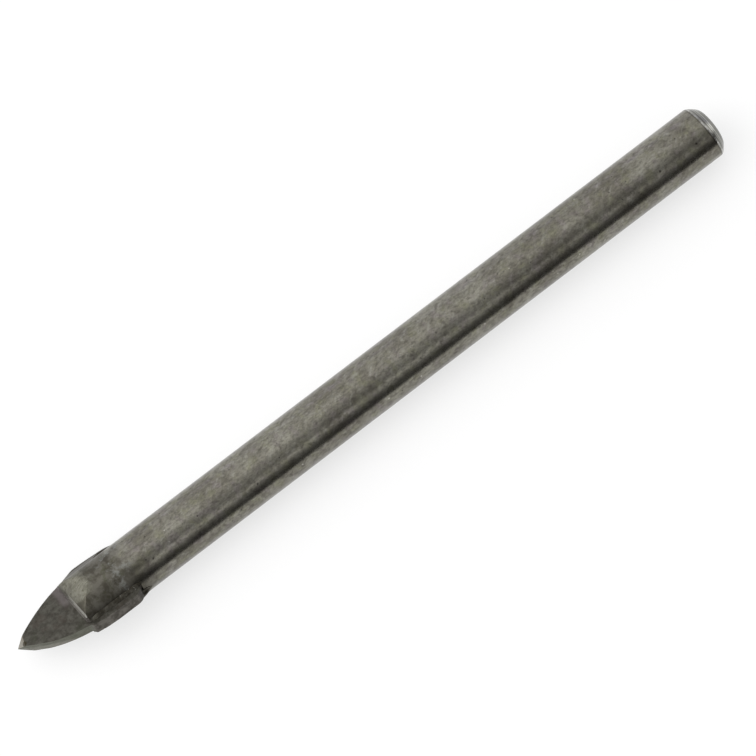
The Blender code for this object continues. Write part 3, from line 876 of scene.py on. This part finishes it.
def braze_bead(material):
    """The braze: a hollow bead swept round the seam on both faces, on the film that fills the slot."""
    points = seam_path()
    widths = []
    last = len(points) - 1
    for index, (x, _, _) in enumerate(points):
        # Thin where the bead runs out at its two ends, and across the front
        fade = min(1.0, index / 14, (last - index) / 8)
        from_front = min((x - FRONT_X) / (0.8 * MM), 1.0)
        widths.append(FILLET_LEG * (0.35 + 0.65 * fade) * (0.42 + 0.74 * from_front))
    made = path_object("braze_bead", points, {"leg": widths})
    nodes, given, output = new_tree("hollow_bead", ("Unevenness", "Lumps", "Climb"))
    place, x, y, z = positions(nodes)
    hollow = [
        nodes.times(nodes.math("SIGN", side), nodes.math("POWER", nodes.math("ABSOLUTE", side), 1.7))
        for side in (x, y)
    ]
    profile = moved_to(nodes, unit_circle(nodes, BEAD_SIDES), *hollow)
    in_mm = nodes.scaled(place, 1 / MM)
    uneven = nodes.minus(nodes.noise(in_mm, 1.1, 3, 0.6), 0.5)
    width = nodes.times(path_number(nodes, "leg"), nodes.plus(1.0, nodes.times(uneven, given["Unevenness"])))
    swept = swept_along(nodes, given["Geometry"], profile, width)

    # The bead climbs higher where it crosses the front
    climb = nodes.step(x, FRONT_X + 0.30 * MM, FRONT_X + 0.02 * MM, 1.0, given["Climb"])
    risen = nodes.plus(HALF_THICKNESS, nodes.times(nodes.minus(z, HALF_THICKNESS), climb))
    swept = moved_to(nodes, swept, x, y, risen)
    wave = nodes.minus(nodes.noise(in_mm, 4.0, 3, 0.6), 0.5)
    lumpy = roughened(nodes, swept, wave, given["Lumps"])

    film = nodes.add(
        "GeometryNodeMeshCube",
        {"Size": (FILM_LENGTH - FILM_END_PLAY, FILM_WIDTH, 2 * SLOT_HALF - FILM_SIDE_PLAY)},
    ).outputs[0]
    film = nodes.add(
        "GeometryNodeTransform", {"Geometry": film, "Translation": (FRONT_X + FILM_LENGTH / 2, 0, 0)}
    ).outputs[0]
    close_tree(nodes, output, on_both_faces(nodes, lumpy, film), material)
    grow(made, nodes.tree, {"Unevenness": 0.6, "Lumps": 0.05 * MM, "Climb": 3.4})
    return made


def braze_buildup(material):
    """The braze heaped round one tail corner on each face, tapering back along the steel."""
    points = []
    widths = []
    for step in range(HEAP_STEPS + 1):
        share = step / HEAP_STEPS
        points.append((HEAP_START_X + HEAP_LENGTH * share, HEAP_Y - HEAP_LEAN * share ** 2, HEAP_Z))
        swell = min(share / 0.24, 1.0) ** 0.5 * (1 - 0.95 * (max(share - 0.40, 0) / 0.60) ** 1.7)
        widths.append(HEAP_RADIUS * swell + HEAP_END_RADIUS)
    made = path_object("braze_buildup", points, {"thickness": widths})
    nodes, given, output = new_tree("heaped_bead", ("Lumps",))
    swept = swept_along(
        nodes, given["Geometry"], unit_circle(nodes, BEAD_SIDES), path_number(nodes, "thickness")
    )
    in_mm = nodes.scaled(positions(nodes)[0], 1 / MM)
    wave = nodes.minus(nodes.noise(in_mm, 2.2, 3, 0.6), 0.5)
    lumpy = roughened(nodes, swept, wave, given["Lumps"])
    close_tree(nodes, output, on_both_faces(nodes, lumpy), material)
    grow(made, nodes.tree, {"Lumps": 0.12 * MM})
    return made


def flux_specks(bead, material):
    """Grains of flux scattered over the seam."""
    made = bpy.data.objects.new("flux_specks", bead.data.copy())
    bpy.context.scene.collection.objects.link(made)
    nodes, given, output = new_tree("flux_grains", ("Density", "Smallest", "Largest"))
    scattered = nodes.add(
        "GeometryNodeDistributePointsOnFaces",
        {"Mesh": given["Geometry"], "Density": given["Density"], "Seed": 7},
    ).outputs
    grain = nodes.add("GeometryNodeMeshIcoSphere", {"Radius": 1.0, "Subdivisions": 2}).outputs[0]
    sizes = nodes.add(
        "FunctionNodeRandomValue",
        {2: given["Smallest"], 3: given["Largest"], "Seed": 11},
        data_type="FLOAT",
    ).outputs[1]
    placed = nodes.add(
        "GeometryNodeInstanceOnPoints",
        {
            "Points": scattered["Points"],
            "Instance": grain,
            "Rotation": scattered["Rotation"],
            "Scale": sizes,
        },
    ).outputs[0]
    close_tree(nodes, output, placed, material)
    grow(made, nodes.tree, {"Density": 7.0e6, "Smallest": 0.008 * MM, "Largest": 0.028 * MM})
    return made


def lay(made, sharp_angle):
    """Lay a piece down as the frame has it, and shade it smooth with its edges kept sharp."""
    made.data.transform(LAY_DOWN)
    made.data.shade_smooth()
    made.data.set_sharp_from_angle(angle=sharp_angle)


def studio():
    """Camera, pale floor and soft studio light."""
    right = Vector((cos(CAMERA_AZIMUTH), sin(CAMERA_AZIMUTH), 0))
    back = Vector((
        sin(CAMERA_AZIMUTH) * cos(CAMERA_ELEVATION),
        -cos(CAMERA_AZIMUTH) * cos(CAMERA_ELEVATION),
        sin(CAMERA_ELEVATION),
    ))
    up = back.cross(right)
    lens = bpy.data.cameras.new("camera")
    lens.lens = CAMERA_LENS_MM
    lens.sensor_width = CAMERA_SENSOR_MM
    lens.clip_start = 0.01
    camera = bpy.data.objects.new("camera", lens)
    bpy.context.scene.collection.objects.link(camera)
    aim = AIM_RIGHT * right + AIM_UP * up + Vector((0, 0, AIM_Z))
    turn = Matrix((right, up, back)).transposed().to_4x4()
    camera.matrix_world = Matrix.Translation(aim + CAMERA_DISTANCE * back) @ turn
    bpy.context.scene.camera = camera

    sheet = bmesh.new()
    bmesh.ops.create_grid(sheet, x_segments=1, y_segments=1, size=FLOOR_SIZE)
    floor = object_from_bmesh("floor", sheet)
    material, nodes, shader = new_material("floor_paper")
    shader.inputs["Base Color"].default_value = (0.95, 0.95, 0.95, 1)
    shader.inputs["Roughness"].default_value = 0.9
    shader.inputs["Specular IOR Level"].default_value = 0.0
    ray_kinds = nodes.add("ShaderNodeLightPath").outputs
    seen = nodes.math("MAXIMUM", ray_kinds["Is Camera Ray"], ray_kinds["Is Glossy Ray"])
    seen = nodes.math("MAXIMUM", seen, ray_kinds["Is Transmission Ray"])
    glow = nodes.add("ShaderNodeEmission", {"Color": (1, 1, 1, 1), "Strength": 1.0}).outputs[0]
    whitened = nodes.times(seen, FLOOR_WHITENING)
    paper = nodes.add("ShaderNodeMixShader", {0: whitened, 1: shader.outputs[0], 2: glow})
    nodes.feed(material.node_tree.nodes["Material Output"].inputs["Surface"], paper.outputs[0])
    floor.data.materials.append(material)

    across = ACROSS_RIGHT * right + ACROSS_UP * up
    along = across.cross(back)
    world = bpy.data.worlds.new("studio")
    bpy.context.scene.world = world
    world.use_nodes = True
    nodes = NodeTree(world.node_tree)
    ray = nodes.add("ShaderNodeTexCoord").outputs["Generated"]
    ray_across, ray_back, ray_along = (
        nodes.measure("DOT_PRODUCT", ray, tuple(axis)) for axis in (across, back, along)
    )
    turn_angle = nodes.math("ARCTAN2", ray_across, ray_back)
    share = nodes.plus(nodes.times(turn_angle, 1 / (2 * pi)), 0.5)
    ramp = nodes.add("ShaderNodeValToRGB", {"Fac": share})
    ramp.color_ramp.elements.remove(ramp.color_ramp.elements[1])
    for index, (angle, level) in enumerate(LIGHT_LEVELS):
        position = angle / 360 + 0.5
        element = ramp.color_ramp.elements[0] if index == 0 else ramp.color_ramp.elements.new(position)
        element.position = position
        blue = 1 + BLUE_GAIN * min(max((angle - BLUE_FROM) / BLUE_RUN, 0), 1)
        element.color = (level, level, level * blue, 1)
    falloff = nodes.add(
        "ShaderNodeMapRange",
        {"Value": ray_along, "From Min": -0.10, "From Max": 0.50, "To Min": 1.36, "To Max": 0.69},
    ).outputs["Result"]
    sky = nodes.blend(1.0, ramp.outputs[0], falloff, "MULTIPLY")
    beside_rear = nodes.times(
        nodes.step(turn_angle, -1.05, -0.80),
        nodes.step(turn_angle, -0.10, -0.30),
        nodes.step(ray_along, 0.30, 0.40, 0.0, 0.40),
    )
    sky = nodes.blend(beside_rear, sky, (0.0, 0.0, 0.0))
    sky = nodes.blend(nodes.step(ray_along, -0.90, -0.985), sky, (1.8, 1.8, 1.8))
    sky = nodes.blend(nodes.step(ray_along, 0.955, 0.995), sky, (2.5, 2.5, 2.5))
    background = world.node_tree.nodes["Background"]
    nodes.feed(background.inputs["Color"], sky)

    key = bpy.data.lights.new("key", "AREA")
    key.size = KEY_SIZE
    key.energy = KEY_POWER
    lamp = bpy.data.objects.new("key", key)
    bpy.context.scene.collection.objects.link(lamp)
    toward = (KEY_TOWARD[0] * across + KEY_TOWARD[1] * back + KEY_TOWARD[2] * along).normalized()
    turn = toward.to_track_quat("Z", "Y").to_matrix().to_4x4()
    lamp.matrix_world = Matrix.Translation(KEY_DISTANCE * toward) @ turn
    bpy.context.scene.view_settings.view_transform = "Standard"


studio()
steel = mill_steel()
carbide = sintered_carbide()
braze = braze_alloy()
flux = flux_crust()

shank = shank_surface(steel)
plate = plate_surface(carbide)
bead = braze_bead(braze)
buildup = braze_buildup(braze)
specks = flux_specks(bead, flux)
for piece, angle in ((shank, 30), (plate, 20), (bead, 50), (buildup, 60), (specks, 80)):
    lay(piece, radians(angle))
    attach(piece, "root")
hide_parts("shank")
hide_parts("carbide_tip")
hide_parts("braze_seam")
